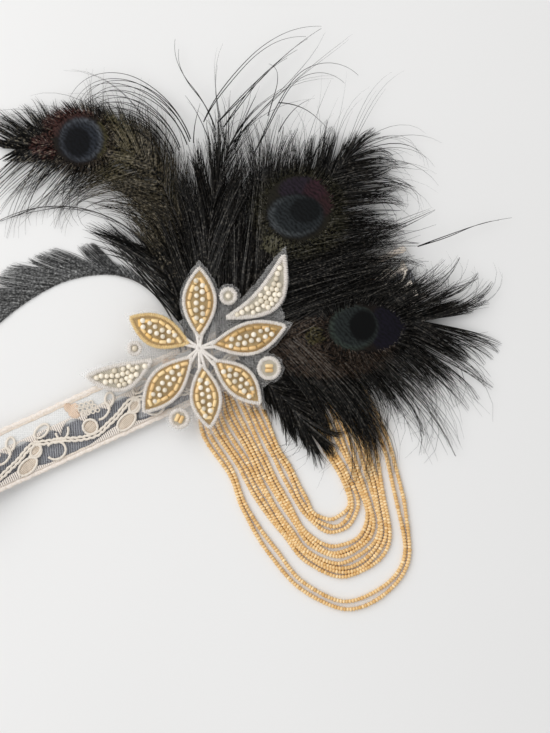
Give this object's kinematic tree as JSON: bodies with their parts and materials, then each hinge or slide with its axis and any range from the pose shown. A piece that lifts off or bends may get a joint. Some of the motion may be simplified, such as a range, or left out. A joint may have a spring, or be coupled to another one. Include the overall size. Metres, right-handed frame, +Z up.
{
  "type": "flapper feather headband",
  "caption": "Lace ribbon headband lying flat, with a beaded flower, dyed-black peacock feathers and a fall of looped bead strings.",
  "frame": {"origin": "on the underside of the lace band, at the middle of its width under the beaded flower, where it lies on the surface", "axes": "+Z up from the surface; seen from above +X to the right and +Y up the view; the band runs 24.5 degrees anticlockwise from +X"},
  "size_m": [0.2873, 0.2771, 0.014],
  "materials": {
    "lace": "sheer ivory lace with corded embroidery",
    "elastic": "ribbed grey-blue elastic",
    "net": "sheer net",
    "gold_beads": "gold bugle beads inside a pale twisted cord",
    "pearl_beads": "cream and silver-white beads inside a white cord",
    "string": "pale gold seed beads",
    "feather": "dyed-black feather"
  },
  "bodies": {
    "root": {"band_lace": "lace", "band_elastic": "elastic", "applique_net": "net", "petal_top": "gold_beads", "petal_upper_left": "gold_beads", "petal_lower_left": "gold_beads", "petal_bottom": "gold_beads", "petal_lower_right": "gold_beads", "petal_right": "gold_beads", "leaf_upper_right": "pearl_beads", "leaf_left": "pearl_beads", "round_top": "pearl_beads", "round_right": "pearl_beads", "round_left": "pearl_beads", "round_bottom": "pearl_beads", "peacock_feather_left": "feather", "peacock_feather_top": "feather", "peacock_feather_right": "feather", "herl_spray": "feather", "side_feather_upper": "feather", "side_feather_lower": "feather", "short_under_feather": "feather", "bead_strings_inner": "string", "bead_strings_middle": "string", "bead_strings_main": "string", "bead_string_long_a": "string", "bead_string_long_b": "string"}
  },
  "joints": []
}
